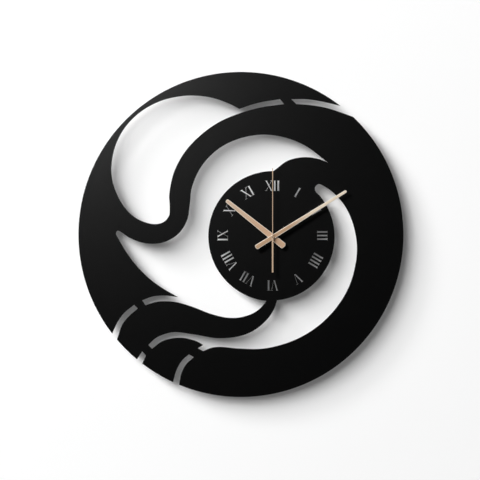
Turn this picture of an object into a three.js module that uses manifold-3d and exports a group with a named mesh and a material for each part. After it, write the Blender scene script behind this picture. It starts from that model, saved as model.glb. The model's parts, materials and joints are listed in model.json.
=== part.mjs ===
// Cat tail wall clock: a laser-cut steel disc with an off-centre dial and a battery quartz movement.
//
// Units are millimetres. Shapes are drawn as the clock is read: x to the right and z up, from the middle
// of the disc. "Depth" is the distance from the wall towards the reader, so the face looks along -Y.
import * as THREE from "three";
import { mergeVertices } from "three/addons/utils/BufferGeometryUtils.js";
import Module from "manifold-3d";

const wasm = await Module();
wasm.setup();

// ---- Driving dimensions ----------------------------------------------------------------------------

const DISC_RADIUS = 200;
const SHEET = 2;
const SHEET_BACK = 20;
const SHEET_FRONT = SHEET_BACK + SHEET;
const GAP = 0.3; // left between pieces that touch
// The plate's curves: a side ends at this length, or once the curve has turned by this many degrees.
const OUTLINE = { side: 5, turn: 12, probe: 0.4 };

const HUB = { x: 38.8, z: -3.3 }; // axis of the three hands
const RING = { x: 38.8, z: -1.3, radius: 61.3 }; // circle through the middles of the numerals
const NUMERAL = {
  height: 12.5,
  stem: 1.9,
  slant: 1.5, // the thick stroke of a V or an X, measured level
  hairline: 0.3,
  reach: 3.4, // half the width of a V or an X
  serif: 1.5, // half the length of a serif
  letterPitch: 9.8, // room for a V or an X
  stemPitch: 4.4, // room for an I
  narrowPitch: 3.5, // the same in II, which is set tighter
};

// Hands: reach and tail from the axis, widths at the tail and the tip, bore, and the depth of the back face.
// angle is the rest position, clockwise from twelve.
const HOUR_HAND = { reach: 72.6, tail: 18.7, wide: 8, narrow: 4.6, bore: 2.8, angle: -51.5, depth: 27.3 };
const MINUTE_HAND = { reach: 107, tail: 24.5, wide: 5.8, narrow: 3.4, bore: 1.9, angle: 58, depth: 29.6 };
const SECOND_HAND = { reach: 85, tail: 43.4, wide: 1.9, narrow: 0.9, bore: 0.7, angle: 0, depth: 32.2 };
const HAND_SHEET = 0.6;
const HAND_END_SIDES = 14;
const TAIL_ROUNDNESS = 0.6; // height of a tail's rounded end over half its width

// Hanging hardware, behind the plate
const HANGER = { x: 15, width: 28, sheet: 1.5, foot: 169, top: 192.5, flange: 16, slotTop: 185 };
const KEYHOLE = { screw: 2.5, head: 4.5, drop: 9 };
const STANDOFF = { radius: 5, bore: 2, padRadius: 6, padThick: 1.6 };
const STANDOFF_PLACES = [
  [-160, -52],
  [4, -171],
  [170, -30],
];

// Movement, drawn from the hub: a square case with the gears above and the battery bay below
const CASE = { half: 28, corner: 3, wall: 1.5, back: 1.8, seam: 3.2, lip: 3.5, inner: 17.1, front: 18.6 };
const BAY = { top: -10.5, wall: 1.2 };
const FINGER_NOTCH = { half: 8, to: 8.5 };
const TRAIN_PLATE = { from: 12.2, to: 13, cannonHole: 1.6, stud: 0.7, studEnd: 16.8 };
const BUSH = { radius: 4, bore: 2.8, end: 26 };
const BUSH_HOLE = BUSH.radius + GAP;
const WASHER = { rubberRadius: 9, flatRadius: 6 };
const NUT = { flats: 10, from: 23.2, to: 25.4 };
const KNOB = { teeth: 16, module: 0.5, from: 1, to: 3.8, slit: [3.4, 0.6], slitDepth: 0.8 };
const KNOB_WELL = { radius: 5.3, wall: 1, floor: 4.2, back: 5.2 };
const SETTING_SHAFT = { radius: 1.1, hole: 1.5, end: 15.4 };

// Arbors and pipes, from the second hand's outwards
const PIVOT = { radius: 0.45, hole: 0.75, from: 2.4, to: 12.8 };
const SECOND_ARBOR = { radius: 0.4, bore: 0.65, end: 33.4 };
const SECOND_BOSS = { radius: 1.1, from: 31.4, to: 32 };
const CANNON = { bore: 0.7, tail: 1.2, tube: 1.6, from: 10, end: 31 };
const MOTION_BORE = 0.95;
const HOUR_PIPE = { bore: 1.9, radius: 2.5, end: 28.6 };

// Motor, electronics and cell
const ROTOR_MAGNET = { radius: 2.9, from: 5.9, to: 8.1 };
const STATOR = {
  from: 6.6,
  to: 7.4,
  left: -21.3,
  inner: -4,
  right: 7.8,
  lower: [10.6, 13.4],
  upper: [22.8, 25.6],
  hole: 3.3,
};
const COIL = { x: -19.5, core: 1, coreFrom: 7.7, coreTo: 8.5, radius: 3.4, flange: 3.8, flangeThick: 0.8 };
const BOBBIN = { bore: 1.5, tube: 2 };
const BOARD = { left: 10, right: 25.6, bottom: 12.6, top: 25.6, from: 9, to: 10 };
const CHIP = { left: 12, right: 17, bottom: 15, top: 19, thick: 1.1 };
const CRYSTAL = { left: 17, right: 23, z: 22.5, radius: 1 };
const CELL = { radius: 7, depth: 9.8, z: -18.6, end: 24.4, nub: 2.6, nubEnd: 25.2, shoulder: 24 };
const LEAF = { near: 25.7, far: 26.1, half: 5, domeFoot: 3.5, domeTop: 1.6, depthTo: 16.6 };

// Gear train: teeth and modules; every pair meets at the sum of its pitch radii
const FIRST_MODULE = 0.28; // rotor pinion and intermediate wheel
const SECOND_MODULE = 0.34; // intermediate pinion and second wheel
const THIRD_MODULE = 0.36; // second pinion and third wheel
const CENTRE_MODULE = 0.34; // third pinion and centre wheel
const MOTION_MODULE = 0.4; // cannon pinion, motion wheel, hour wheel and setting gear
const ROTOR_PINION = 8;
const INTERMEDIATE = { wheel: 40, pinion: 8 };
const SECOND = { wheel: 48, pinion: 6 };
const THIRD = { wheel: 45, pinion: 6 };
const CENTRE_WHEEL = 48;
const CANNON_PINION = 10;
const MOTION = { wheel: 30, pinion: 8 };
const HOUR_WHEEL = 32;
const SETTING_GEAR = 20;

// Depths of each gear
const LAYER = {
  rotorPinion: [3.9, 5.4],
  intermediateWheel: [4.1, 5.1],
  intermediatePinion: [5.1, 7.2],
  secondWheel: [5.8, 6.8],
  secondPinion: [6.8, 9.7],
  thirdWheel: [8.1, 9.1],
  thirdPinion: [9.1, 11.9],
  centreWheel: [10.6, 11.6],
  cannonPinion: [13.5, 15.2],
  motionWheel: [13.7, 14.7],
  motionPinion: [14.7, 16.7],
  hourWheel: [15.6, 16.7],
};
const MERGE = 0.2; // how far two joined pieces run into each other

// Axes of the train, each one placed at its distance and direction from the one before
const pairDistance = (module, a, b) => (module * (a + b)) / 2;
function placed([x, z], distance, degrees) {
  const turn = THREE.MathUtils.degToRad(degrees);
  return [x + distance * Math.cos(turn), z + distance * Math.sin(turn)];
}
const HUB_AXIS = [0, 0];
const THIRD_DIRECTION = 172.5;
const INTERMEDIATE_DIRECTION = 60;
const ROTOR_DIRECTION = 110;
const MOTION_DIRECTION = 25;
const SETTING_DIRECTION = 10;
const THIRD_AXIS = placed(
  HUB_AXIS,
  pairDistance(THIRD_MODULE, SECOND.pinion, THIRD.wheel),
  THIRD_DIRECTION,
);
const INTERMEDIATE_AXIS = placed(
  HUB_AXIS,
  pairDistance(SECOND_MODULE, INTERMEDIATE.pinion, SECOND.wheel),
  INTERMEDIATE_DIRECTION,
);
const ROTOR_AXIS = placed(
  INTERMEDIATE_AXIS,
  pairDistance(FIRST_MODULE, ROTOR_PINION, INTERMEDIATE.wheel),
  ROTOR_DIRECTION,
);
const MOTION_AXIS = placed(
  HUB_AXIS,
  pairDistance(MOTION_MODULE, CANNON_PINION, MOTION.wheel),
  MOTION_DIRECTION,
);
const SETTING_AXIS = placed(
  MOTION_AXIS,
  pairDistance(MOTION_MODULE, SETTING_GEAR, MOTION.wheel),
  SETTING_DIRECTION,
);

// ---- Materials -------------------------------------------------------------------------------------

const look = (color, roughness, metalness) => new THREE.MeshStandardMaterial({ color, roughness, metalness });
const BLACK_COAT = look(0x101010, 0.55, 0.2);
const ROSE_GOLD = look(0xcfae8c, 0.35, 0.9);
const ZINC_STEEL = look(0xa8abad, 0.45, 0.9);
const SPRING_STEEL = look(0xb9bcc0, 0.35, 1);
const BRASS = look(0xc9a55a, 0.35, 1);
const BLACK_RUBBER = look(0x1b1b1b, 0.9, 0);
const BLACK_PLASTIC = look(0x202122, 0.6, 0);
const WHITE_PLASTIC = look(0xe6e3da, 0.5, 0);
const MAGNET = look(0x4a4a4e, 0.4, 0.8);
const LAMINATION = look(0x8e9196, 0.5, 0.9);
const COPPER = look(0xb4632c, 0.4, 0.9);
const GREEN_BOARD = look(0x1f5a36, 0.5, 0);
const CELL_SLEEVE = look(0x2b2d30, 0.35, 0.3);

// ---- Geometry helpers ------------------------------------------------------------------------------

function solidOf(geometry) {
  const bare = geometry.clone();
  bare.deleteAttribute("normal");
  bare.deleteAttribute("uv");
  const merged = mergeVertices(bare, 1e-4);
  return new wasm.Manifold(
    new wasm.Mesh({
      numProp: 3,
      vertProperties: new Float32Array(merged.attributes.position.array),
      triVerts: new Uint32Array(merged.index.array),
    }),
  );
}

function geometryOf(solid) {
  const mesh = solid.getMesh();
  const places = new Float32Array(mesh.vertProperties);
  const geometry = new THREE.BufferGeometry();
  geometry.setAttribute("position", new THREE.BufferAttribute(places, 3));
  geometry.setIndex(new THREE.BufferAttribute(new Uint32Array(mesh.triVerts), 1));
  geometry.computeVertexNormals();
  return geometry;
}

const join = (...pieces) => geometryOf(pieces.map(solidOf).reduce((sum, piece) => sum.add(piece)));
const cut = (body, ...tools) =>
  geometryOf(tools.map(solidOf).reduce((rest, tool) => rest.subtract(tool), solidOf(body)));

const extruded = (shape, length) => new THREE.ExtrudeGeometry(shape, { depth: length, bevelEnabled: false });

// A flat shape between two depths.
const slab = (shape, from, to) => extruded(shape, to - from).translate(0, 0, from).rotateX(Math.PI / 2);

function shapeOf(points, ...holes) {
  const shape = new THREE.Shape(points.map(([x, z]) => new THREE.Vector2(x, z)));
  for (const hole of holes) {
    shape.holes.push(new THREE.Path(hole.map(([x, z]) => new THREE.Vector2(x, z))));
  }
  return shape;
}

function circle(radius, sides, [x, z] = [0, 0]) {
  return Array.from({ length: sides }, (_, i) => {
    const turn = (2 * Math.PI * i) / sides;
    return [x + radius * Math.cos(turn), z + radius * Math.sin(turn)];
  });
}

const rectangle = (left, bottom, right, top) => [
  [left, bottom],
  [right, bottom],
  [right, top],
  [left, top],
];

const disc = (radius, from, to, sides, centre) => slab(shapeOf(circle(radius, sides, centre)), from, to);
const ring = (bore, radius, from, to, sides, centre) =>
  slab(shapeOf(circle(radius, sides, centre), circle(bore, sides, centre)), from, to);
const block = (left, bottom, right, top, from, to) =>
  slab(shapeOf(rectangle(left, bottom, right, top)), from, to);

// A piece turned about an axis along X, for the cell and its contacts.
function turnedAlongX(corners, sides, depth, z) {
  return new THREE.LatheGeometry(corners.map(([radius, x]) => new THREE.Vector2(radius, x)), sides)
    .rotateZ(-Math.PI / 2)
    .translate(0, -depth, z);
}

// A gear's outline: one valley corner and a flat tip for each tooth. phase turns it, in teeth.
const TOOTH = { above: 0.6, below: 1.15, halfTip: 0.08 }; // heights in modules, tip width in teeth
function gearPoints(teeth, module, phase, [x, z] = [0, 0]) {
  const pitch = (module * teeth) / 2;
  const tip = pitch + TOOTH.above * module;
  const root = pitch - TOOTH.below * module;
  const corners = [
    [tip, -TOOTH.halfTip],
    [tip, TOOTH.halfTip],
    [root, 0.5],
  ];
  const points = [];
  for (let tooth = 0; tooth < teeth; tooth += 1) {
    for (const [radius, share] of corners) {
      const turn = (2 * Math.PI * (tooth + phase + share)) / teeth;
      points.push([x + radius * Math.cos(turn), z + radius * Math.sin(turn)]);
    }
  }
  return points;
}

// The phase that puts a tooth of one gear on a direction, or a valley.
const toothOn = (teeth, degrees) => (teeth * degrees) / 360;
const valleyOn = (teeth, degrees) => toothOn(teeth, degrees) + 0.5;

function gear({ teeth, module, phase, layer, axis, bore }) {
  const holes = bore ? [circle(bore, 16, axis)] : [];
  return slab(shapeOf(gearPoints(teeth, module, phase, axis), ...holes), ...layer);
}

// ---- Outlines of the plate -------------------------------------------------------------------------

// A stretch of outline is an arc, a straight line between two points, or a smooth curve through more.
const arc = (x, z, radius, from, to) => ({ x, z, radius, from, to });

function stretchPoints(stretch) {
  if (!Array.isArray(stretch)) {
    const { x, z, radius, from, to } = stretch;
    const steps = Math.ceil(THREE.MathUtils.degToRad(Math.abs(to - from)) * (radius / OUTLINE.side));
    return Array.from({ length: steps + 1 }, (_, i) => {
      const turn = THREE.MathUtils.degToRad(from + ((to - from) * i) / steps);
      return [x + radius * Math.cos(turn), z + radius * Math.sin(turn)];
    });
  }
  if (stretch.length === 2) return stretch;
  return curvePoints(stretch);
}

// Sides along a smooth curve: each ends when it is long enough, or when the curve has turned enough.
function curvePoints(places) {
  const along = places.map(([x, z]) => new THREE.Vector3(x, 0, z));
  const curve = new THREE.CatmullRomCurve3(along, false, "centripetal");
  const probes = curve.getSpacedPoints(Math.ceil(curve.getLength() / OUTLINE.probe));
  const heading = (index) => probes[index + 1].clone().sub(probes[index]);
  const last = probes.length - 1;
  const kept = [probes[0]];
  let turned = 0;
  for (let index = 1; index < last; index += 1) {
    turned += THREE.MathUtils.radToDeg(heading(index - 1).angleTo(heading(index)));
    const gone = probes[index].distanceTo(kept.at(-1));
    if (turned >= OUTLINE.turn || gone >= OUTLINE.side) {
      kept.push(probes[index]);
      turned = 0;
    }
  }
  kept.push(probes[last]);
  return kept.map((point) => [point.x, point.z]);
}

// A closed outline; each stretch ends where the next begins, so its last point is left out.
const outline = (stretches) => stretches.flatMap((stretch) => stretchPoints(stretch).slice(0, -1));

function onDisc(degrees) {
  const turn = THREE.MathUtils.degToRad(degrees);
  return [DISC_RADIUS * Math.cos(turn), DISC_RADIUS * Math.sin(turn)];
}

// Directions, in degrees anticlockwise from +X, where the outline leaves the disc's edge.
const CRESCENT_TIP = 52.3;
const LEG_LINE = [217.6, 220.3];
const TOE_LINE = [230.2, 232.6];
const PAW_LINE = [245.3, 247.6];
const TAIL_CORNER = 406.3;

const DISC_EDGE = outline([
  arc(0, 0, DISC_RADIUS, CRESCENT_TIP, LEG_LINE[0]),
  [onDisc(LEG_LINE[0]), [-152, -108], [-144, -97], [-131.5, -86.5]],
  [[-131.5, -86.5], [-127, -91]],
  [[-127, -91], [-137.5, -100], [-146.5, -111.5], onDisc(LEG_LINE[1])],
  arc(0, 0, DISC_RADIUS, LEG_LINE[1], TOE_LINE[0]),
  [onDisc(TOE_LINE[0]), [-121.5, -144]],
  [[-121.5, -144], [-117, -149]],
  [[-117, -149], onDisc(TOE_LINE[1])],
  arc(0, 0, DISC_RADIUS, TOE_LINE[1], PAW_LINE[0]),
  [onDisc(PAW_LINE[0]), [-79, -166], [-72, -154.5], [-64, -147.5]],
  [[-64, -147.5], [-58, -151]],
  [[-58, -151], [-67, -159], [-73.5, -171], onDisc(PAW_LINE[1])],
  arc(0, 0, DISC_RADIUS, PAW_LINE[1], TAIL_CORNER),
  [onDisc(TAIL_CORNER), [122, 150.5], [104, 156], [87, 159], [68, 160.5]],
  [[68, 160.5], [62, 166.5]],
  [[62, 166.5], [82, 166.3], [102, 163], onDisc(CRESCENT_TIP)],
]);

const CRESCENT_OPENING = outline([
  [
    [-2, 154.5], [-13.5, 160.5], [-33, 167.5], [-54, 170.8], [-75, 170], [-99.5, 164], [-124, 150.5],
    [-143.5, 130.5], [-155.7, 105.5], [-159.5, 78], [-155.7, 57.5], [-142.5, 32.5], [-127, 19], [-107, 12.8],
    [-95, 15.5], [-88.5, 23.5], [-87.8, 35], [-88.2, 49.5], [-82.5, 76.5], [-69.5, 101], [-50.5, 121.5],
    [-27.5, 138], [-2, 149], [25, 156.5], [53, 160.5],
  ],
  [[53, 160.5], [48, 166.5]],
  [[48, 166.5], [26, 163], [12.5, 159.5], [-2, 154.5]],
]);

const DIAL_LEFT = arc(40, -2.1, 80.2, 90, 263.6);
const DIAL_RIGHT = arc(36.5, -2.7, 78.7, -84.2, 40.1);
const arcEnd = ({ x, z, radius, to }) => stretchPoints(arc(x, z, radius, to, to + 1))[0];
const arcStart = ({ x, z, radius, from }) => stretchPoints(arc(x, z, radius, from, from + 1))[0];

const BODY_OPENING = outline([
  [
    [-77.5, -77], [-95, -67], [-112, -54.8], [-127, -40], [-140, -23.3], [-150.5, -5.5], [-153.8, 1.2],
    [-151.8, 4.6], [-148, 3.2], [-137, -4.2], [-117.5, -10.8], [-96.5, -10], [-78, 0], [-66.5, 17],
    [-63, 37], [-60.3, 58], [-48.8, 83.5], [-29.5, 104], [-5, 117], [25.5, 122.8], [53, 119.6],
    [79, 109.3], [107, 88.6],
  ],
  [[107, 88.6], [97.5, 92.3], [83.5, 95], [70, 94.3], [56.5, 90.3], arcStart(DIAL_LEFT)],
  DIAL_LEFT,
  [
    arcEnd(DIAL_LEFT), [23.5, -91], [12, -98.2], [-1.5, -102], [-15.5, -102.5], [-36, -98], [-62, -88.2],
    [-82.5, -82.8], [-103.5, -82.8], [-117.5, -87],
  ],
  [[-117.5, -87], [-121.5, -81]],
  [[-121.5, -81], [-109, -76.5], [-95, -75.2], [-77.5, -77]],
]);

const TAIL_OPENING = outline([
  DIAL_RIGHT,
  [
    arcEnd(DIAL_RIGHT), [91.8, 53], [91.3, 58.5], [95.5, 62], [102, 59.5], [114, 51], [126.5, 37],
    [135.3, 20.2], [141, 0], [142.7, -17], [141.2, -35], [134, -61.5], [120.3, -86], [101.5, -107],
    [79, -123.3], [53.5, -134.5], [26, -140.5], [-2, -140.3], [-26, -138.3], [-36.5, -139.5],
    [-46.5, -143.5],
  ],
  [[-46.5, -143.5], [-53.3, -140]],
  [[-53.3, -140], [-46.5, -136]],
  [[-46.5, -136], [-56, -130.8], [-76.5, -127], [-97, -131.3], [-109.5, -140.5]],
  [[-109.5, -140.5], [-114, -136]],
  [
    [-114, -136], [-104, -127], [-84, -120.4], [-56.5, -123.2], [-29, -127.6], [-1, -125], [18, -116.8],
    [33.5, -103], [41, -91], arcStart(DIAL_RIGHT),
  ],
]);

// ---- Numerals --------------------------------------------------------------------------------------

const NUMERALS = ["I", "II", "III", "IIII", "V", "VI", "VII", "VIII", "IX", "X", "XI", "XII"];

// A bar from the top of a letter to its foot, and a hairline serif across one end.
const letterBar = (top, foot, width) => [
  [top - width / 2, NUMERAL.height / 2],
  [foot - width / 2, -NUMERAL.height / 2],
  [foot + width / 2, -NUMERAL.height / 2],
  [top + width / 2, NUMERAL.height / 2],
];

function serif(x, end) {
  const edge = (end * NUMERAL.height) / 2;
  const inner = edge - end * NUMERAL.hairline;
  return rectangle(x - NUMERAL.serif, Math.min(edge, inner), x + NUMERAL.serif, Math.max(edge, inner));
}

const TOP = 1;
const FOOT = -1;

// The strokes of each letter, about its own middle.
function letterStrokes(letter) {
  const { stem, slant, hairline, reach } = NUMERAL;
  if (letter === "I") return [letterBar(0, 0, stem), serif(0, TOP), serif(0, FOOT)];
  if (letter === "V") {
    const thin = letterBar(reach, slant / 2, hairline);
    return [letterBar(-reach, 0, slant), thin, serif(-reach, TOP), serif(reach, TOP)];
  }
  const serifs = [-reach, reach].flatMap((x) => [serif(x, TOP), serif(x, FOOT)]);
  return [letterBar(-reach, reach, slant), letterBar(reach, -reach, hairline), ...serifs];
}

function letterWidth(letter, numeral) {
  if (letter !== "I") return NUMERAL.letterPitch;
  return numeral === "II" ? NUMERAL.narrowPitch : NUMERAL.stemPitch;
}

// Cutters for the numeral of one hour: it reads from outside the dial, with its foot to the centre.
function numeralCutters(hour) {
  const numeral = NUMERALS[hour - 1];
  const widths = [...numeral].map((letter) => letterWidth(letter, numeral));
  const turn = THREE.MathUtils.degToRad(30 * hour);
  let x = -widths.reduce((sum, width) => sum + width, 0) / 2;
  const cutters = [];
  [...numeral].forEach((letter, index) => {
    const middle = x + widths[index] / 2;
    for (const stroke of letterStrokes(letter)) {
      const raised = stroke.map(([px, pz]) => [px + middle, pz + RING.radius]);
      const cutter = slab(shapeOf(raised), SHEET_BACK - 1, SHEET_FRONT + 1);
      cutters.push(cutter.rotateY(turn).translate(RING.x, 0, RING.z));
    }
    x += widths[index];
  });
  return cutters;
}

// ---- Plate and hanging hardware --------------------------------------------------------------------

function facePlate() {
  const shaftHole = circle(BUSH_HOLE, 24, [HUB.x, HUB.z]);
  const sheet = slab(
    shapeOf(DISC_EDGE, CRESCENT_OPENING, BODY_OPENING, TAIL_OPENING, shaftHole),
    SHEET_BACK,
    SHEET_FRONT,
  );
  return cut(sheet, ...NUMERALS.flatMap((_, index) => numeralCutters(index + 1)));
}

// A bent strap: back flange on the wall, a web at its foot, and a front flange welded to the plate.
function hangerBracket() {
  const { x, width, sheet, foot, top, flange, slotTop } = HANGER;
  const left = x - width / 2;
  const right = x + width / 2;
  const weld = SHEET_BACK - GAP;
  const strap = join(
    block(left, foot, right, top, 0, sheet),
    block(left, foot, right, foot + sheet, 0, weld),
    block(left, foot, right, foot + flange, weld - sheet, weld),
  );
  const { screw, head, drop } = KEYHOLE;
  const entry = slotTop - drop;
  return cut(
    strap,
    disc(head, -1, sheet + 1, 24, [x, entry]),
    block(x - screw, entry, x + screw, slotTop, -1, sheet + 1),
    disc(screw, -1, sheet + 1, 16, [x, slotTop]),
  );
}

const standoffSpacer = (place) =>
  ring(STANDOFF.bore, STANDOFF.radius, STANDOFF.padThick + GAP, SHEET_BACK - GAP, 20, place);
const standoffPad = (place) => ring(STANDOFF.bore, STANDOFF.padRadius, 0, STANDOFF.padThick, 20, place);

// ---- Hands -----------------------------------------------------------------------------------------

// A tapering strip with a round tip, a flatter tail and a round bore on the axis.
function handBlade({ reach, tail, wide, narrow, bore, angle, depth }) {
  const tailCrown = TAIL_ROUNDNESS * (wide / 2);
  const end = (z, halfWidth, crown, start) =>
    Array.from({ length: HAND_END_SIDES + 1 }, (_, i) => {
      const turn = start + (Math.PI * i) / HAND_END_SIDES;
      return [halfWidth * Math.cos(turn), z + crown * Math.sin(turn)];
    });
  const edge = [
    ...end(reach - narrow / 2, narrow / 2, narrow / 2, 0),
    ...end(tailCrown - tail, wide / 2, tailCrown, Math.PI),
  ];
  const blade = slab(shapeOf(edge, circle(bore, 20)), depth, depth + HAND_SHEET);
  return blade.rotateY(THREE.MathUtils.degToRad(angle));
}

// The second hand is wider behind the axis than in front of it, with a waist at its boss.
function secondBlade() {
  const { reach, tail, wide, narrow, bore, depth } = SECOND_HAND;
  const eye = bore + 0.9;
  const around = circle(eye, 20);
  const front = around.filter(([px, pz]) => pz >= 0 && Math.abs(px) > narrow / 2);
  const back = around.filter(([px, pz]) => pz < 0 && Math.abs(px) > wide / 2);
  const edge = [
    [narrow / 2, reach - 1],
    [0, reach],
    [-narrow / 2, reach - 1],
    [-narrow / 2, eye],
    ...front.filter(([px]) => px < 0),
    ...back.filter(([px]) => px < 0),
    [-wide / 2, -eye],
    [-wide / 2, -tail],
    [wide / 2, -tail],
    [wide / 2, -eye],
    ...back.filter(([px]) => px > 0),
    ...front.filter(([px]) => px > 0),
    [narrow / 2, eye],
  ];
  return slab(shapeOf(edge, circle(bore, 12)), depth, depth + HAND_SHEET);
}

// ---- Movement case ---------------------------------------------------------------------------------

function roundedRectangle(left, bottom, right, top, radius) {
  const corners = [
    [right - radius, top - radius, 0],
    [left + radius, top - radius, 90],
    [left + radius, bottom + radius, 180],
    [right - radius, bottom + radius, 270],
  ];
  return corners.flatMap(([x, z, from]) =>
    Array.from({ length: 5 }, (_, i) => {
      const turn = THREE.MathUtils.degToRad(from + (90 * i) / 4);
      return [x + radius * Math.cos(turn), z + radius * Math.sin(turn)];
    }),
  );
}

// The front case is a square tray, open at the back, with a wall between the gears and the cell. A notch in
// the foot of the bay lets a finger lift the cell out.
function caseFront() {
  const { half, corner, wall, lip, inner, front } = CASE;
  const inside = half - wall;
  const outer = roundedRectangle(-half, -half, half, half, corner);
  const hollow = roundedRectangle(-inside, -inside, inside, inside, corner - wall);
  const tray = join(
    slab(shapeOf(outer, hollow), lip, front),
    slab(shapeOf(outer, circle(BUSH_HOLE, 24)), inner, front),
    block(-inside - MERGE, BAY.top, inside + MERGE, BAY.top + BAY.wall, lip, inner + MERGE),
  );
  const notch = FINGER_NOTCH.half;
  return cut(tray, block(-notch, -half - 1, notch, -inside + 0.1, lip - 1, FINGER_NOTCH.to));
}

// The rear cover closes the gear side, with pivot holes and a well for the setting knob.
function rearCover() {
  const { half, corner, back, seam } = CASE;
  const pivots = [HUB_AXIS, THIRD_AXIS, INTERMEDIATE_AXIS, ROTOR_AXIS];
  const cover = slab(
    shapeOf(
      roundedRectangle(-half, BAY.top, half, half, corner),
      circle(KNOB_WELL.radius, 24, SETTING_AXIS),
      ...pivots.map((axis) => circle(PIVOT.hole, 8, axis)),
    ),
    back,
    seam,
  );
  const wellOuter = KNOB_WELL.radius + KNOB_WELL.wall;
  return join(
    cover,
    ring(KNOB_WELL.radius, wellOuter, seam - MERGE, KNOB_WELL.back, 24, SETTING_AXIS),
    ring(SETTING_SHAFT.hole, wellOuter, KNOB_WELL.floor, KNOB_WELL.back, 24, SETTING_AXIS),
  );
}

// The train plate stands between the gears and the motion work, and carries the motion wheel's stud.
function trainPlate() {
  const inside = CASE.half - CASE.wall - GAP;
  const { from, to, cannonHole, stud, studEnd } = TRAIN_PLATE;
  const edge = roundedRectangle(-inside, BAY.top + BAY.wall + GAP, inside, inside, CASE.corner - CASE.wall);
  const plate = shapeOf(
    edge,
    circle(cannonHole, 16, HUB_AXIS),
    circle(SETTING_SHAFT.hole, 16, SETTING_AXIS),
    ...[THIRD_AXIS, INTERMEDIATE_AXIS, ROTOR_AXIS].map((axis) => circle(PIVOT.hole, 8, axis)),
  );
  return join(slab(plate, from, to), disc(stud, from, studEnd, 12, MOTION_AXIS));
}

// The bush clamps the plate between the case and the nut, with a washer on each side.
const threadedBush = () => ring(BUSH.bore, BUSH.radius, CASE.inner, BUSH.end, 24);
const rubberWasher = () => ring(BUSH_HOLE, WASHER.rubberRadius, CASE.front + GAP, SHEET_BACK - GAP, 24);
const flatWasher = () => ring(BUSH_HOLE, WASHER.flatRadius, SHEET_FRONT + GAP, NUT.from - GAP, 24);
const hexNut = () =>
  slab(shapeOf(circle(NUT.flats / Math.sqrt(3), 6), circle(BUSH_HOLE, 24)), NUT.from, NUT.to);

// ---- Gear train, from the rotor to the hands -------------------------------------------------------

// Where two gears meet, one has a tooth and the other a valley.
const arbor = (axis) => disc(PIVOT.radius, PIVOT.from, PIVOT.to, 8, axis);

const rotorPinion = () =>
  join(
    gear({
      teeth: ROTOR_PINION,
      module: FIRST_MODULE,
      phase: toothOn(ROTOR_PINION, ROTOR_DIRECTION + 180),
      layer: LAYER.rotorPinion,
      axis: ROTOR_AXIS,
    }),
    arbor(ROTOR_AXIS),
  );

const rotorMagnet = () =>
  ring(PIVOT.radius + GAP, ROTOR_MAGNET.radius, ROTOR_MAGNET.from, ROTOR_MAGNET.to, 20, ROTOR_AXIS);

const intermediateWheel = () =>
  join(
    gear({
      teeth: INTERMEDIATE.wheel,
      module: FIRST_MODULE,
      phase: valleyOn(INTERMEDIATE.wheel, ROTOR_DIRECTION),
      layer: LAYER.intermediateWheel,
      axis: INTERMEDIATE_AXIS,
    }),
    gear({
      teeth: INTERMEDIATE.pinion,
      module: SECOND_MODULE,
      phase: toothOn(INTERMEDIATE.pinion, INTERMEDIATE_DIRECTION + 180),
      layer: LAYER.intermediatePinion,
      axis: INTERMEDIATE_AXIS,
    }),
    arbor(INTERMEDIATE_AXIS),
  );

// The second wheel and its pinion are one moulding round the second arbor.
const secondWheel = () =>
  join(
    gear({
      teeth: SECOND.wheel,
      module: SECOND_MODULE,
      phase: valleyOn(SECOND.wheel, INTERMEDIATE_DIRECTION),
      layer: LAYER.secondWheel,
      axis: HUB_AXIS,
      bore: SECOND_ARBOR.bore,
    }),
    gear({
      teeth: SECOND.pinion,
      module: THIRD_MODULE,
      phase: toothOn(SECOND.pinion, THIRD_DIRECTION),
      layer: LAYER.secondPinion,
      axis: HUB_AXIS,
      bore: SECOND_ARBOR.bore,
    }),
  );
const secondArbor = () => disc(SECOND_ARBOR.radius, PIVOT.from, SECOND_ARBOR.end, 10, HUB_AXIS);
const secondBoss = () => ring(SECOND_ARBOR.bore, SECOND_BOSS.radius, SECOND_BOSS.from, SECOND_BOSS.to, 20);

const thirdWheel = () =>
  join(
    gear({
      teeth: THIRD.wheel,
      module: THIRD_MODULE,
      phase: valleyOn(THIRD.wheel, THIRD_DIRECTION + 180),
      layer: LAYER.thirdWheel,
      axis: THIRD_AXIS,
    }),
    gear({
      teeth: THIRD.pinion,
      module: CENTRE_MODULE,
      phase: toothOn(THIRD.pinion, THIRD_DIRECTION + 180),
      layer: LAYER.thirdPinion,
      axis: THIRD_AXIS,
    }),
    arbor(THIRD_AXIS),
  );

const centreWheel = () =>
  gear({
    teeth: CENTRE_WHEEL,
    module: CENTRE_MODULE,
    phase: valleyOn(CENTRE_WHEEL, THIRD_DIRECTION),
    layer: LAYER.centreWheel,
    axis: HUB_AXIS,
    bore: CANNON.tail + GAP,
  });

const cannonPinion = () =>
  join(
    ring(CANNON.bore, CANNON.tail, CANNON.from, LAYER.cannonPinion[0] + MERGE, 16),
    gear({
      teeth: CANNON_PINION,
      module: MOTION_MODULE,
      phase: toothOn(CANNON_PINION, MOTION_DIRECTION),
      layer: LAYER.cannonPinion,
      axis: HUB_AXIS,
      bore: CANNON.bore,
    }),
    ring(CANNON.bore, CANNON.tube, LAYER.cannonPinion[1] - MERGE, CANNON.end, 16),
  );

// The motion wheel rides on the train plate's stud, so it has a bore.
const MOTION_PHASE = valleyOn(MOTION.wheel, MOTION_DIRECTION + 180);
const motionWheel = () =>
  join(
    gear({
      teeth: MOTION.wheel,
      module: MOTION_MODULE,
      phase: MOTION_PHASE,
      layer: LAYER.motionWheel,
      axis: MOTION_AXIS,
      bore: MOTION_BORE,
    }),
    gear({
      teeth: MOTION.pinion,
      module: MOTION_MODULE,
      phase: toothOn(MOTION.pinion, MOTION_DIRECTION + 180),
      layer: LAYER.motionPinion,
      axis: MOTION_AXIS,
      bore: MOTION_BORE,
    }),
  );

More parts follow.
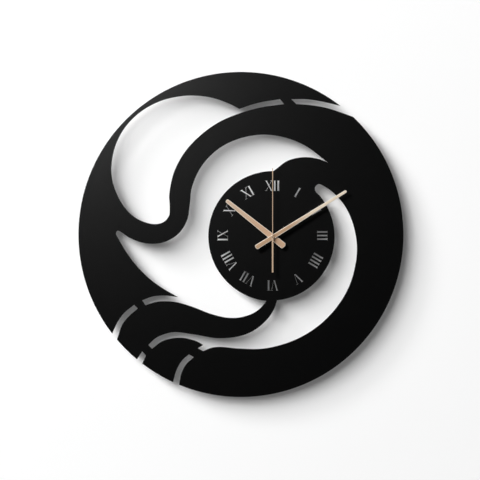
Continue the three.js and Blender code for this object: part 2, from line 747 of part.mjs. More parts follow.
const hourWheel = () =>
  join(
    gear({
      teeth: HOUR_WHEEL,
      module: MOTION_MODULE,
      phase: valleyOn(HOUR_WHEEL, MOTION_DIRECTION),
      layer: LAYER.hourWheel,
      axis: HUB_AXIS,
      bore: HOUR_PIPE.bore,
    }),
    ring(HOUR_PIPE.bore, HOUR_PIPE.radius, LAYER.hourWheel[1] - MERGE, HOUR_PIPE.end, 16),
  );

// Where the motion wheel's teeth stand on the line to the setting gear, in teeth.
const MOTION_AT_SETTING = MOTION_PHASE - toothOn(MOTION.wheel, SETTING_DIRECTION);

// The setting gear's shaft passes through the train plate and the cover to the knob in the well.
const settingGear = () =>
  join(
    gear({
      teeth: SETTING_GEAR,
      module: MOTION_MODULE,
      phase: valleyOn(SETTING_GEAR, SETTING_DIRECTION + 180) - MOTION_AT_SETTING,
      layer: LAYER.motionWheel,
      axis: SETTING_AXIS,
    }),
    disc(SETTING_SHAFT.radius, KNOB.to + GAP, SETTING_SHAFT.end, 12, SETTING_AXIS),
  );

// The knob is knurled, with a slit for a coin or a nail.
function settingKnob() {
  const [x, z] = SETTING_AXIS;
  const [slitLong, slitWide] = KNOB.slit;
  const knob = slab(shapeOf(gearPoints(KNOB.teeth, KNOB.module, 0, SETTING_AXIS)), KNOB.from, KNOB.to);
  return cut(
    knob,
    block(x - slitLong, z - slitWide, x + slitLong, z + slitWide, KNOB.from - 1, KNOB.from + KNOB.slitDepth),
  );
}

// ---- Motor, electronics and cell -------------------------------------------------------------------

// A C of sheet round the rotor; its two arms run to the ends of the coil's core.
function stator() {
  const { left, inner, right, lower, upper } = STATOR;
  const edge = [
    [left, lower[0]],
    [right, lower[0]],
    [right, upper[1]],
    [left, upper[1]],
    [left, upper[0]],
    [inner, upper[0]],
    [inner, lower[1]],
    [left, lower[1]],
  ];
  return slab(shapeOf(edge, circle(STATOR.hole, 24, ROTOR_AXIS)), STATOR.from, STATOR.to);
}

const coilCore = () =>
  block(COIL.x - COIL.core, STATOR.lower[0], COIL.x + COIL.core, STATOR.upper[1], COIL.coreFrom, COIL.coreTo);

// A ring about the coil's own axis, which is upright.
const COIL_DEPTH = (COIL.coreFrom + COIL.coreTo) / 2;
function coilRing(bore, radius, bottom, top) {
  const section = shapeOf(circle(radius, 20), circle(bore, 12));
  return extruded(section, top - bottom).translate(COIL.x, -COIL_DEPTH, bottom);
}

const COIL_BOTTOM = STATOR.lower[1] + GAP;
const COIL_TOP = STATOR.upper[0] - GAP;
const FLANGE_TOP = COIL_BOTTOM + COIL.flangeThick;
const FLANGE_FOOT = COIL_TOP - COIL.flangeThick;
const coilBobbin = () =>
  join(
    coilRing(BOBBIN.bore, BOBBIN.tube, COIL_BOTTOM, COIL_TOP),
    coilRing(BOBBIN.bore, COIL.flange, COIL_BOTTOM, FLANGE_TOP),
    coilRing(BOBBIN.bore, COIL.flange, FLANGE_FOOT, COIL_TOP),
  );
const coilWinding = () => coilRing(BOBBIN.tube + GAP, COIL.radius, FLANGE_TOP + GAP, FLANGE_FOOT - GAP);

// The chip and the crystal can sit on the back of the board.
const MOUNTED = BOARD.from - GAP;
const circuitBoard = () => block(BOARD.left, BOARD.bottom, BOARD.right, BOARD.top, BOARD.from, BOARD.to);
const driverChip = () => block(CHIP.left, CHIP.bottom, CHIP.right, CHIP.top, MOUNTED - CHIP.thick, MOUNTED);
const crystalCan = () =>
  turnedAlongX(
    [
      [0, CRYSTAL.left],
      [CRYSTAL.radius, CRYSTAL.left],
      [CRYSTAL.radius, CRYSTAL.right],
      [0, CRYSTAL.right],
    ],
    12,
    MOUNTED - CRYSTAL.radius,
    CRYSTAL.z,
  );

const aaCell = () =>
  turnedAlongX(
    [
      [0, -CELL.end],
      [CELL.radius, -CELL.end],
      [CELL.radius, CELL.shoulder],
      [CELL.nub, CELL.shoulder],
      [CELL.nub, CELL.nubEnd],
      [0, CELL.nubEnd],
    ],
    20,
    CELL.depth,
    CELL.z,
  );

// Contacts: a flat leaf at the positive end and a leaf with a sprung dome at the other.
const leaf = (from, to) =>
  block(from, CELL.z - LEAF.half, to, CELL.z + LEAF.half, CELL.depth - LEAF.half, LEAF.depthTo);
const positiveContact = () => leaf(LEAF.near, LEAF.far);
const negativeContact = () =>
  join(
    leaf(-LEAF.far, -LEAF.near),
    turnedAlongX(
      [
        [0, MERGE / 2 - LEAF.far],
        [LEAF.domeFoot, MERGE / 2 - LEAF.far],
        [LEAF.domeTop, -CELL.end - GAP],
        [0, -CELL.end - GAP],
      ],
      12,
      CELL.depth,
      CELL.z,
    ),
  );

// ---- Assembly --------------------------------------------------------------------------------------

function named(name, geometry, material) {
  const mesh = new THREE.Mesh(geometry, material);
  mesh.name = name;
  return mesh;
}

// Pieces drawn from the middle of the disc.
const disk = new THREE.Group();
disk.add(named("face_plate", facePlate(), BLACK_COAT), named("hanger_bracket", hangerBracket(), ZINC_STEEL));
STANDOFF_PLACES.forEach((place, index) => {
  disk.add(
    named(`standoff_${index + 1}`, standoffSpacer(place), BLACK_PLASTIC),
    named(`standoff_pad_${index + 1}`, standoffPad(place), BLACK_RUBBER),
  );
});

// Pieces drawn from the axis of the hands.
const movement = new THREE.Group();
movement.position.set(HUB.x, 0, HUB.z);
movement.add(
  named("case_front", caseFront(), BLACK_PLASTIC),
  named("rear_cover", rearCover(), BLACK_PLASTIC),
  named("train_plate", trainPlate(), WHITE_PLASTIC),
  named("threaded_bush", threadedBush(), BRASS),
  named("rubber_washer", rubberWasher(), BLACK_RUBBER),
  named("flat_washer", flatWasher(), BLACK_COAT),
  named("hex_nut", hexNut(), BLACK_COAT),
  named("stator", stator(), LAMINATION),
  named("coil_core", coilCore(), LAMINATION),
  named("coil_bobbin", coilBobbin(), WHITE_PLASTIC),
  named("coil_winding", coilWinding(), COPPER),
  named("circuit_board", circuitBoard(), GREEN_BOARD),
  named("driver_chip", driverChip(), BLACK_PLASTIC),
  named("crystal_can", crystalCan(), SPRING_STEEL),
  named("aa_cell", aaCell(), CELL_SLEEVE),
  named("positive_contact", positiveContact(), SPRING_STEEL),
  named("negative_contact", negativeContact(), SPRING_STEEL),
  named("rotor_magnet", rotorMagnet(), MAGNET),
  named("rotor_pinion", rotorPinion(), WHITE_PLASTIC),
  named("intermediate_wheel", intermediateWheel(), WHITE_PLASTIC),
  named("second_wheel", secondWheel(), WHITE_PLASTIC),
  named("second_arbor", secondArbor(), SPRING_STEEL),
  named("third_wheel", thirdWheel(), WHITE_PLASTIC),
  named("centre_wheel", centreWheel(), WHITE_PLASTIC),
  named("cannon_pinion", cannonPinion(), BRASS),
  named("motion_wheel", motionWheel(), WHITE_PLASTIC),
  named("hour_wheel", hourWheel(), WHITE_PLASTIC),
  named("setting_gear", settingGear(), WHITE_PLASTIC),
  named("setting_knob", settingKnob(), BLACK_PLASTIC),
  named("hour_hand", handBlade(HOUR_HAND), ROSE_GOLD),
  named("minute_hand", handBlade(MINUTE_HAND), ROSE_GOLD),
  named("second_hand", secondBlade(), ROSE_GOLD),
  named("second_hand_boss", secondBoss(), BRASS),
);

// The part's origin is on the wall, at the back of the hanger, just above its slot.
const HANG_POINT = (HANGER.slotTop + KEYHOLE.screw + HANGER.top) / 2;
const clock = new THREE.Group();
clock.position.set(-HANGER.x, 0, -HANG_POINT);
clock.add(disk, movement);

const part = new THREE.Group();
part.add(clock);

export default part;
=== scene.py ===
"""Looks of the cat tail wall clock: a black coated steel disc, rose gold hands and a quartz movement.

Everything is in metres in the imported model's frame: +Z is up, the wall is the plane y = 0, and the face
looks along -Y. Sheet outlines are handled in millimetres and scaled once, when their mesh is made.
"""
import json
import math

import bmesh
import bpy
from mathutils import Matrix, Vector
from mathutils.geometry import delaunay_2d_cdt


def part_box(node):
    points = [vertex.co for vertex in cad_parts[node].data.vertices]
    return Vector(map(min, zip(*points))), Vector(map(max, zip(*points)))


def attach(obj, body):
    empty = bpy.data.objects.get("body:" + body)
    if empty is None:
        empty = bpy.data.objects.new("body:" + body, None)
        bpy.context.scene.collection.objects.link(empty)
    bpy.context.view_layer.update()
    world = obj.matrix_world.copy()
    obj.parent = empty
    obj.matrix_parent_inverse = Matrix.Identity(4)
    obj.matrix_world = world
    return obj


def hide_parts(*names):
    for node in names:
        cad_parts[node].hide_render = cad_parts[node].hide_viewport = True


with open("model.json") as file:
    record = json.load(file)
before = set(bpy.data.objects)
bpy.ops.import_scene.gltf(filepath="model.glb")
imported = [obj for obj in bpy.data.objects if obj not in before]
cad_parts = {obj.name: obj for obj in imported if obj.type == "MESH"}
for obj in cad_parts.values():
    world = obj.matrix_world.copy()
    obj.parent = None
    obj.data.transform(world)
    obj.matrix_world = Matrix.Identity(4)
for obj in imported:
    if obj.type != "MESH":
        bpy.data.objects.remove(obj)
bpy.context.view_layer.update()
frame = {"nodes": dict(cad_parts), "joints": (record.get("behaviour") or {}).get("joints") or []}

NODES = frame["nodes"]
JOINTS = {joint["name"]: joint for joint in frame["joints"]}
MM = 0.001

# ---- Driving values ----------------------------------------------------------------------------------

HUB = Vector(JOINTS["second_hand_turn"]["pos_m"])

PLATE_EDGE = 0.16        # rounding of the coated plate's edges, mm
HAND_EDGE = 0.12         # rounding of the hands' edges, mm
# The bevel round the hour and minute hands is real; its near-white colour is a painted highlight along
# their edges.
HAND_RIM = (0.45, 0.04)  # width and fall of the pale bevel round a hand, mm
NO_RIM = (0, 0)
HAND_FADE = (25 * MM, 60 * MM)  # distances from the hub over which a hand's tone changes
PLAIN_GOLD = (0.70, 0.51, 0.35)
CORNER = 22.0            # an outline turns more than this at a corner, degrees
FINEST = 1.5             # a curve's side turns no more than this once it is refined, degrees
STRAIGHT = 0.05          # a point that turns less than this is left out, degrees
EDGE_STEPS = 3           # sides across a rounded edge
SHARPEST = 0.15          # keeps an edge's inset short at a pointed tip
SAME_POINT = 1e-5        # points closer than this are one, mm
FRONT_WITHIN = 0.01      # how far from the front plane a front face's corners may be, mm

CAMERA_DISTANCE = 3.0
VIEW_WIDTH = 590.5 * MM  # how much the camera sees at the plate's front
CAMERA_LEFT = 1.2 * MM   # of the middle of the disc
CAMERA_BELOW = 6.8 * MM

WALL_GAP = 0.4 * MM      # between the clock's pads and the wall
FLOOR_DROP = 0.85        # floor below the middle of the disc
ROOM = 4.0               # half width of the wall and the floor
COVE = 0.25              # radius of the curve between wall and floor
WALL_GLOW = 0.08         # keeps the wall grey where no lamp reaches it
WALL_FADE = (1.2, 2.4)   # distances over which the wall and the floor fade into the room

KEY_TURN = math.radians(140)  # where the soft key light comes from, from +X towards +Z
KEY_DISTANCE = 8.0

# ---- Node helpers ------------------------------------------------------------------------------------

COLOUR_INPUTS = (6, 7)  # of a Mix node, whose sockets share their names with its other types
COLOUR_OUTPUT = 2


class Finish:
    """A Principled material with textures in the row frame, so that they stay on a piece as it moves."""

    def __init__(self, name, **sockets):
        self.material = bpy.data.materials.new(name)
        self.material.use_nodes = True
        self.nodes = self.material.node_tree.nodes
        self.links = self.material.node_tree.links
        self.shader = self.nodes["Principled BSDF"]
        for socket, value in sockets.items():
            self.shader.inputs[socket.replace("_", " ")].default_value = value
        self.place = self.nodes.new("ShaderNodeTexCoord").outputs["Object"]

    def turned(self, degrees, across, along, centre=(0, 0, 0)):
        """Texture places that run along a direction, given clockwise from +Z as the face is read."""
        mapping = self.nodes.new("ShaderNodeMapping")
        mapping.vector_type = "TEXTURE"
        mapping.inputs["Location"].default_value = centre
        mapping.inputs["Rotation"].default_value = (0, math.radians(degrees), 0)
        mapping.inputs["Scale"].default_value = (across, across, along)
        self.links.new(self.place, mapping.inputs["Vector"])
        return mapping.outputs["Vector"]

    def noise(self, size, detail=2.0, place=None):
        """Grey noise whose blobs are about this many metres across."""
        node = self.nodes.new("ShaderNodeTexNoise")
        node.inputs["Scale"].default_value = 1 / size
        node.inputs["Detail"].default_value = detail
        self.links.new(place or self.place, node.inputs["Vector"])
        return node.outputs["Fac"]

    def cells(self, size):
        """The distance from the middle of the nearest cell, each about this many metres across."""
        node = self.nodes.new("ShaderNodeTexVoronoi")
        node.inputs["Scale"].default_value = 1 / size
        self.links.new(self.place, node.inputs["Vector"])
        return node.outputs["Distance"]

    def bands(self, size, distortion):
        """Level bands, one above the other."""
        node = self.nodes.new("ShaderNodeTexWave")
        node.bands_direction = "Z"
        node.inputs["Scale"].default_value = 1 / (size * math.tau)
        node.inputs["Distortion"].default_value = distortion
        self.links.new(self.place, node.inputs["Vector"])
        return node.outputs["Fac"]

    def along(self, axis, place=None):
        """One coordinate of a place, in metres."""
        split = self.nodes.new("ShaderNodeSeparateXYZ")
        self.links.new(place or self.place, split.inputs["Vector"])
        return split.outputs[axis]

    def span(self, value, low, high, to_low=0.0, to_high=1.0):
        """A value brought from one range to another, and held inside it."""
        node = self.nodes.new("ShaderNodeMapRange")
        self.links.new(value, node.inputs["Value"])
        node.inputs["From Min"].default_value = low
        node.inputs["From Max"].default_value = high
        node.inputs["To Min"].default_value = to_low
        node.inputs["To Max"].default_value = to_high
        return node.outputs["Result"]

    def mixed(self, share, first, second):
        """A colour between two, each a colour or a socket."""
        node = self.nodes.new("ShaderNodeMix")
        node.data_type = "RGBA"
        self.links.new(share, node.inputs["Factor"])
        for index, colour in zip(COLOUR_INPUTS, (first, second)):
            if isinstance(colour, tuple):
                node.inputs[index].default_value = (*colour, 1)
            else:
                self.links.new(colour, node.inputs[index])
        return node.outputs[COLOUR_OUTPUT]

    def colour(self, socket):
        self.links.new(socket, self.shader.inputs["Base Color"])

    def roughness(self, socket):
        self.links.new(socket, self.shader.inputs["Roughness"])

    def bump(self, *layers):
        """Relief from (height, metres deep) pairs, the broadest first."""
        normal = None
        for height, depth in layers:
            node = self.nodes.new("ShaderNodeBump")
            node.inputs["Distance"].default_value = depth
            self.links.new(height, node.inputs["Height"])
            if normal:
                self.links.new(normal, node.inputs["Normal"])
            normal = node.outputs["Normal"]
        self.links.new(normal, self.shader.inputs["Normal"])


# ---- Finishes ----------------------------------------------------------------------------------------


def powder_coat():
    """Satin black powder coat: an even fine grain over long, very shallow waves."""
    made = Finish("black_powder_coat", Specular_IOR_Level=0.3)
    patch = made.noise(0.05, 3)
    grain = made.noise(0.0007, 2)
    made.colour(made.mixed(patch, (0.0007, 0.0007, 0.0008), (0.0014, 0.0014, 0.0014)))
    made.roughness(made.span(grain, 0.3, 0.7, 0.31, 0.38))
    made.bump((made.noise(0.004, 1), 0.00002), (grain, 0.000035))
    return made.material


def brushed_gold(name, degrees, near, far):
    """Rose gold anodised aluminium, brushed along the hand and paler towards its tip."""
    made = Finish(name, Metallic=0.4, Anisotropic=0.3)
    streaks = made.noise(1.0, 3, made.turned(degrees, 0.00022, 0.018))
    reach = made.along("Z", made.turned(degrees, 1, 1, HUB))
    tone = made.mixed(made.span(reach, *HAND_FADE), near, far)
    made.colour(made.mixed(made.span(streaks, 0.3, 0.7, 0.16, 0.0), tone, (0.30, 0.17, 0.09)))
    made.roughness(made.span(streaks, 0.25, 0.75, 0.40, 0.52))
    made.bump((streaks, 0.000012))
    return made.material


def plastic(name, dark, light, roughness, grain_size=0.0006, grain_depth=0.00003):
    """Moulded plastic with a spark-eroded grain."""
    made = Finish(name)
    grain = made.cells(grain_size)
    made.colour(made.mixed(made.noise(0.012, 3), dark, light))
    made.roughness(made.span(made.noise(0.003, 2), 0.3, 0.7, roughness - 0.07, roughness + 0.07))
    made.bump((made.noise(0.006, 1), 0.00002), (grain, grain_depth))
    return made.material


def metal(name, dark, light, roughness, grain_size=0.0012, grain_depth=0.00001, metallic=1.0):
    """Bare or plated metal, a little cloudy."""
    made = Finish(name, Metallic=metallic)
    cloud = made.noise(grain_size * 6, 4)
    grain = made.noise(grain_size, 3)
    made.colour(made.mixed(made.span(cloud, 0.3, 0.7), dark, light))
    made.roughness(made.span(grain, 0.3, 0.7, roughness - 0.08, roughness + 0.1))
    made.bump((grain, grain_depth))
    return made.material


def zinc_steel():
    """Galvanised strip, with the spangle that the zinc leaves."""
    made = Finish("zinc_plated_steel", Metallic=0.95)
    spangle = made.cells(0.005)
    made.colour(made.mixed(made.span(spangle, 0.1, 0.8), (0.46, 0.47, 0.48), (0.62, 0.63, 0.64)))
    made.roughness(made.span(made.noise(0.002, 3), 0.3, 0.7, 0.34, 0.52))
    made.bump((made.noise(0.0015, 2), 0.00002))
    return made.material


def rubber():
    made = Finish("black_rubber", Specular_IOR_Level=0.3)
    made.colour(made.mixed(made.noise(0.004, 3), (0.012, 0.012, 0.012), (0.03, 0.03, 0.03)))
    made.roughness(made.span(made.noise(0.0008, 2), 0.3, 0.7, 0.78, 0.95))
    made.bump((made.noise(0.0005, 2), 0.00004))
    return made.material


def copper_winding():
    """Turns of enamelled wire side by side, with painted shade in the grooves between them."""
    made = Finish("copper_winding", Metallic=0.8)
    wire = made.bands(0.00012, 0.4)
    # dark to bright copper across each turn: the dark part is painted shade in the grooves between turns
    made.colour(made.mixed(wire, (0.28, 0.09, 0.03), (0.78, 0.33, 0.13)))
    made.roughness(made.span(made.noise(0.001, 2), 0.3, 0.7, 0.28, 0.42))
    made.bump((wire, 0.00006))
    return made.material


def circuit_green():
    """Green resist over copper tracks."""
    made = Finish("circuit_resist", Specular_IOR_Level=0.6)
    tracks = made.nodes.new("ShaderNodeTexBrick")
    tracks.inputs["Scale"].default_value = 400
    tracks.inputs["Mortar Size"].default_value = 0.04
    made.links.new(made.place, tracks.inputs["Vector"])
    share = tracks.outputs["Fac"]
    made.colour(made.mixed(share, (0.012, 0.085, 0.035), (0.03, 0.16, 0.06)))
    made.roughness(made.span(made.noise(0.002, 2), 0.3, 0.7, 0.3, 0.42))
    made.bump((share, 0.00003))
    return made.material


def cell_sleeve(left, right):
    """Printed shrink sleeve of a plain battery: graphite, with a light band at its positive end."""
    made = Finish("cell_sleeve", Metallic=0.35, Coat_Weight=0.4, Coat_Roughness=0.15)
    length = right - left
    band = made.span(made.along("X"), right - 0.27 * length, right - 0.265 * length)
    speckle = made.noise(0.0009, 2)
    dark = made.mixed(speckle, (0.028, 0.032, 0.038), (0.045, 0.05, 0.058))
    light = made.mixed(speckle, (0.42, 0.44, 0.46), (0.52, 0.54, 0.56))
    made.colour(made.mixed(band, dark, light))
    made.roughness(made.span(made.noise(0.004, 2), 0.3, 0.7, 0.26, 0.38))
    made.bump((made.noise(0.003, 2), 0.00003))
    return made.material


# ---- Sheet helpers -----------------------------------------------------------------------------------

INSIDE_ONLY = 1  # asks the triangulation for what lies inside the outlines


def front_loops(node):
    """The closed outlines of a flat piece's front face, as lists of (x, z) in millimetres."""
    mesh = NODES[node].data
    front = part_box(node)[0].y + FRONT_WITHIN * MM
    open_sides = set()
    for face in mesh.polygons:
        corners = [mesh.vertices[index].co for index in face.vertices]
        if all(corner.y < front for corner in corners):
            points = [(round(corner.x / MM, 3), round(corner.z / MM, 3)) for corner in corners]
            for side in zip(points, points[1:] + points[:1]):
                if side[::-1] in open_sides:
                    open_sides.remove(side[::-1])
                else:
                    open_sides.add(side)
    following = dict(open_sides)
    loops = []
    while following:
        start, point = next(iter(following.items()))
        loop = [start]
        del following[start]
        while point != start:
            loop.append(point)
            point = following.pop(point)
        loops.append(loop)
    return sorted(loops, key=min)


def without_midpoints(loop):
    """The loop without points that lie on a straight line between their neighbours."""
    kept = []
    for index, point in enumerate(loop):
        before = Vector(point) - Vector(loop[index - 1])
        after = Vector(loop[(index + 1) % len(loop)]) - Vector(point)
        if abs(before.angle(after)) > math.radians(STRAIGHT):
            kept.append(point)
    return kept


def refined(loop):
    """The loop with its curves made smooth and its corners kept."""
    loop = [Vector(point) for point in without_midpoints(loop)]
    count = len(loop)
    sides = [loop[(index + 1) % count] - loop[index] for index in range(count)]
    turns = [sides[index - 1].angle(sides[index]) for index in range(count)]
    corner = [turn > math.radians(CORNER) for turn in turns]
    tangents = []
    for index in range(count):
        tangents.append((sides[index - 1] + sides[index]).normalized())
    points = []
    for index, side in enumerate(sides):
        after = (index + 1) % count
        start = side.normalized() if corner[index] else tangents[index]
        end = side.normalized() if corner[after] else tangents[after]
        bend = max(start.angle(side), end.angle(side)) * 2
        steps = max(1, math.ceil(math.degrees(bend) / FINEST))
        for step in range(steps):
            t = step / steps
            pull = side.length
            points.append(
                loop[index] * (2 * t**3 - 3 * t**2 + 1)
                + loop[after] * (3 * t**2 - 2 * t**3)
                + start * pull * (t**3 - 2 * t**2 + t)
                + end * pull * (t**3 - t**2)
            )
    return points


def shade(mesh, degrees):
    """Smooth shading, kept apart at edges sharper than this."""
    mesh.shade_smooth()
    mesh.set_sharp_from_angle(angle=math.radians(degrees))


def linked(name, mesh, *materials):
    piece = bpy.data.objects.new(name, mesh)
    for material in materials:
        mesh.materials.append(material)
    bpy.context.scene.collection.objects.link(piece)
    return piece


def weigh_normals(piece):
    """Faces keep flat shading up to their rounded edges."""
    modifier = piece.modifiers.new("weighted", "WEIGHTED_NORMAL")
    modifier.mode = "FACE_AREA"
    modifier.keep_sharp = True


def inset(loop, distance):
    """The loop moved into the material, which lies on its left."""
    moved = []
    for index, point in enumerate(loop):
        before = (point - loop[index - 1]).normalized()
        after = (loop[(index + 1) % len(loop)] - point).normalized()
        normal = Vector((-before.y - after.y, before.x + after.x))
        reach = max(normal.dot(normal) / 2, SHARPEST)
        moved.append(point + normal * distance / reach)
    return moved


def covered(loops):
    """Triangles on the left of every closed loop, as indices into all the loops' points in order."""
    points = [point for loop in loops for point in loop]
    faces = []
    first = 0
    for loop in loops:
        faces.append(list(range(first, first + len(loop))))
        first += len(loop)
    _, _, triangles, sources, _, inside = delaunay_2d_cdt(points, [], faces, INSIDE_ONLY, SAME_POINT)
    return [
        [sources[corner][0] for corner in triangle]
        for triangle, around in zip(triangles, inside)
        if len(around) == len(loops)
    ]


def is_hole(loop):
    """Whether a loop runs clockwise, with its material outside it."""
    return sum(point.cross(loop[index - 1]) for index, point in enumerate(loop)) > 0


def edge_rings(thickness, edge, rim):
    """The rings round a sheet's edge from front to back: how far into it, and how deep from its front."""
    rounding = []
    for step in range(EDGE_STEPS + 1):
        turn = math.radians(90) * step / EDGE_STEPS
        rounding.append((edge * (1 - math.sin(turn)), edge * (1 - math.cos(turn))))
    width, fall = rim
    bevel = [(edge + width, 0)] if width else []
    front = bevel + [(into, fall + deep) for into, deep in rounding]
    return front + [(into, thickness - deep) for into, deep in reversed(rounding)]


def sheet_mesh(node, edge, rim):
    """A sheet piece with rounded edges, from a CAD node's outlines, in the row frame.

    Its two faces have the first material, and its edges and bevel have the second. Holes have no bevel.
    """
    low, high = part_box(node)
    loops = [refined(loop) for loop in front_loops(node)]
    rings = edge_rings((high.y - low.y) / MM, edge, rim)
    deepest = [edge if is_hole(loop) else math.inf for loop in loops]
    outlines = [
        [inset(loop, min(into, most)) for loop, most in zip(loops, deepest)]
        for into, _ in rings
    ]
    work = bmesh.new()
    layers = []
    for moved, (_, deep) in zip(outlines, rings):
        layer = []
        for loop in moved:
            places = [(point.x * MM, low.y + deep * MM, point.y * MM) for point in loop]
            layer.append([work.verts.new(place) for place in places])
        layers.append(layer)
    for near, far in zip(layers, layers[1:]):
        for near_loop, far_loop in zip(near, far):
            for index, corner in enumerate(near_loop):
                before = index - 1
                side = work.faces.new((near_loop[before], corner, far_loop[index], far_loop[before]))
                side.material_index = 1
    for end in (0, -1):
        corners = [corner for loop in layers[end] for corner in loop]
        for triangle in covered(outlines[end]):
            work.faces.new([corners[index] for index in triangle])
    bmesh.ops.recalc_face_normals(work, faces=work.faces)
    mesh = bpy.data.meshes.new(node)
    work.to_mesh(mesh)
    work.free()
    shade(mesh, 40)
    return mesh


def sheet_piece(name, node, body, slot, edge, rim, *materials):
    piece = linked(name, sheet_mesh(node, edge, rim), *materials)
    weigh_normals(piece)
    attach(piece, body)
    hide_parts(node)


# ---- Plate and hands ---------------------------------------------------------------------------------

def hand_angle(node):
    """Where a hand points at rest, clockwise from twelve."""
    tip = max((vertex.co for vertex in NODES[node].data.vertices), key=lambda co: (co - HUB).length)
    return math.degrees(math.atan2(tip.x - HUB.x, tip.z - HUB.z))


COAT = powder_coat()
sheet_piece("plate", "face_plate", "frame", "black_coat", PLATE_EDGE, NO_RIM, COAT, COAT)
# The last colour of each row goes on the hand's edges and bevel: a near-white painted highlight for the
# hour and minute hands, plain gold for the second hand.
for body, rim, near, far, pale in (
    ("hour", HAND_RIM, (0.70, 0.46, 0.30), (0.70, 0.53, 0.38), (0.97, 0.88, 0.76)),
    ("minute", HAND_RIM, (0.60, 0.39, 0.24), (0.96, 0.83, 0.65), (0.97, 0.89, 0.78)),
    ("second", NO_RIM, PLAIN_GOLD, PLAIN_GOLD, PLAIN_GOLD),
):
    hand = f"{body}_hand"
    turn = hand_angle(hand)
    face = brushed_gold(f"rose_gold_{body}", turn, near, far)
    # a pale copy of the gold for the edges and bevel: painted highlight
    bevel = brushed_gold(f"painted_highlight_gold_{body}", turn, pale, pale)
    sheet_piece(f"{body}_blade", hand, body, "rose_gold", HAND_EDGE, rim, face, bevel)

# ---- Battery -----------------------------------------------------------------------------------------

CELL_LOW, CELL_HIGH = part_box("aa_cell")
CELL_RADIUS = (CELL_HIGH.z - CELL_LOW.z) / 2


def turned_mesh(name, profile, sides, start, centre):
    """A piece turned about X from (distance along, radius) points, with the material that each ring has."""
    work = bmesh.new()
    rings = []
    for along, radius, _ in profile:
        ring = []
        for side in range(sides):
            turn = math.tau * side / sides
            place = (start + along, centre.y + radius * math.cos(turn), centre.z + radius * math.sin(turn))
            ring.append(work.verts.new(place))
        rings.append(ring)
    for index, (near, far) in enumerate(zip(rings, rings[1:])):
        for side in range(sides):
            after = (side + 1) % sides
            face = work.faces.new((near[side], near[after], far[after], far[side]))
            face.material_index = profile[index][2]
    work.faces.new(rings[0]).material_index = profile[0][2]
    work.faces.new(rings[-1]).material_index = profile[-1][2]
    bmesh.ops.recalc_face_normals(work, faces=work.faces)
    mesh = bpy.data.meshes.new(name)
    work.to_mesh(mesh)
    work.free()
    return mesh


def battery():
    """A cell in a shrink sleeve that folds over its ends, with a dished base and a stepped button."""
    length = CELL_HIGH.x - CELL_LOW.x
    radius = CELL_RADIUS
    nub = 2.6 * MM
    fold = 0.9 * MM
    shoulder = length - 1.3 * MM
    sleeve, steel = 0, 1
    profile = [
        (0.35 * MM, 0.4 * MM, steel),
        (0.35 * MM, radius - 2.6 * MM, steel),
        (0.0, radius - 2.2 * MM, steel),
        (0.0, radius - fold, steel),
        (0.25 * MM, radius - fold, sleeve),
        (0.05 * MM, radius - 0.5 * MM, sleeve),
        (0.4 * MM, radius - 0.1 * MM, sleeve),
        (0.8 * MM, radius, sleeve),
        (shoulder - 0.7 * MM, radius, sleeve),
        (shoulder - 0.2 * MM, radius - 0.25 * MM, sleeve),
        (shoulder, radius - fold, sleeve),
        (shoulder - 0.15 * MM, radius - fold - 0.1 * MM, steel),
        (shoulder - 0.1 * MM, nub + 1.2 * MM, steel),
        (shoulder + 0.1 * MM, nub + 0.3 * MM, steel),
        (length - 0.3 * MM, nub, steel),
        (length, nub - 0.3 * MM, steel),
        (length, 0.3 * MM, steel),
    ]
    centre = (CELL_LOW + CELL_HIGH) / 2
    mesh = turned_mesh("battery", profile, 64, CELL_LOW.x, centre)
    shade(mesh, 32)
    sleeve_finish = cell_sleeve(CELL_LOW.x, CELL_HIGH.x)
    piece = linked("battery", mesh, sleeve_finish, SPRING_STEEL)
    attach(piece, "frame")
    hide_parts("aa_cell")


SPRING_STEEL = metal("nickel_steel", (0.52, 0.52, 0.51), (0.66, 0.65, 0.63), 0.28)
battery()

# ---- Finishes and rounded edges of the CAD nodes -----------------------------------------------------

ZINC = zinc_steel()
RUBBER = rubber()
CASE_BLACK = plastic("case_black", (0.010, 0.010, 0.011), (0.018, 0.018, 0.019), 0.52)
SPACER_BLACK = plastic("spacer_black", (0.014, 0.014, 0.014), (0.024, 0.024, 0.024), 0.6)
KNOB_GREY = plastic("knob_grey", (0.05, 0.05, 0.052), (0.075, 0.075, 0.078), 0.45)
GEAR_WHITE = plastic("gear_white", (0.66, 0.64, 0.58), (0.76, 0.74, 0.69), 0.4, 0.0015, 0.00001)
CHIP_BLACK = plastic("chip_black", (0.012, 0.012, 0.012), (0.02, 0.02, 0.02), 0.7, 0.0003)
HAND_GOLD = brushed_gold("rose_gold_boss", 0, PLAIN_GOLD, PLAIN_GOLD)
BRASS = metal("brass", (0.62, 0.43, 0.17), (0.76, 0.56, 0.27), 0.3)
MAGNET = metal("magnet", (0.10, 0.10, 0.105), (0.17, 0.17, 0.175), 0.45, metallic=0.8)
LAMINATION = metal("lamination", (0.30, 0.31, 0.33), (0.44, 0.45, 0.46), 0.4)
COPPER = copper_winding()
RESIST = circuit_green()

WELD_WITHIN = 0.002  # mm
BEVEL_FROM = 40      # edges that turn more than this are rounded, degrees

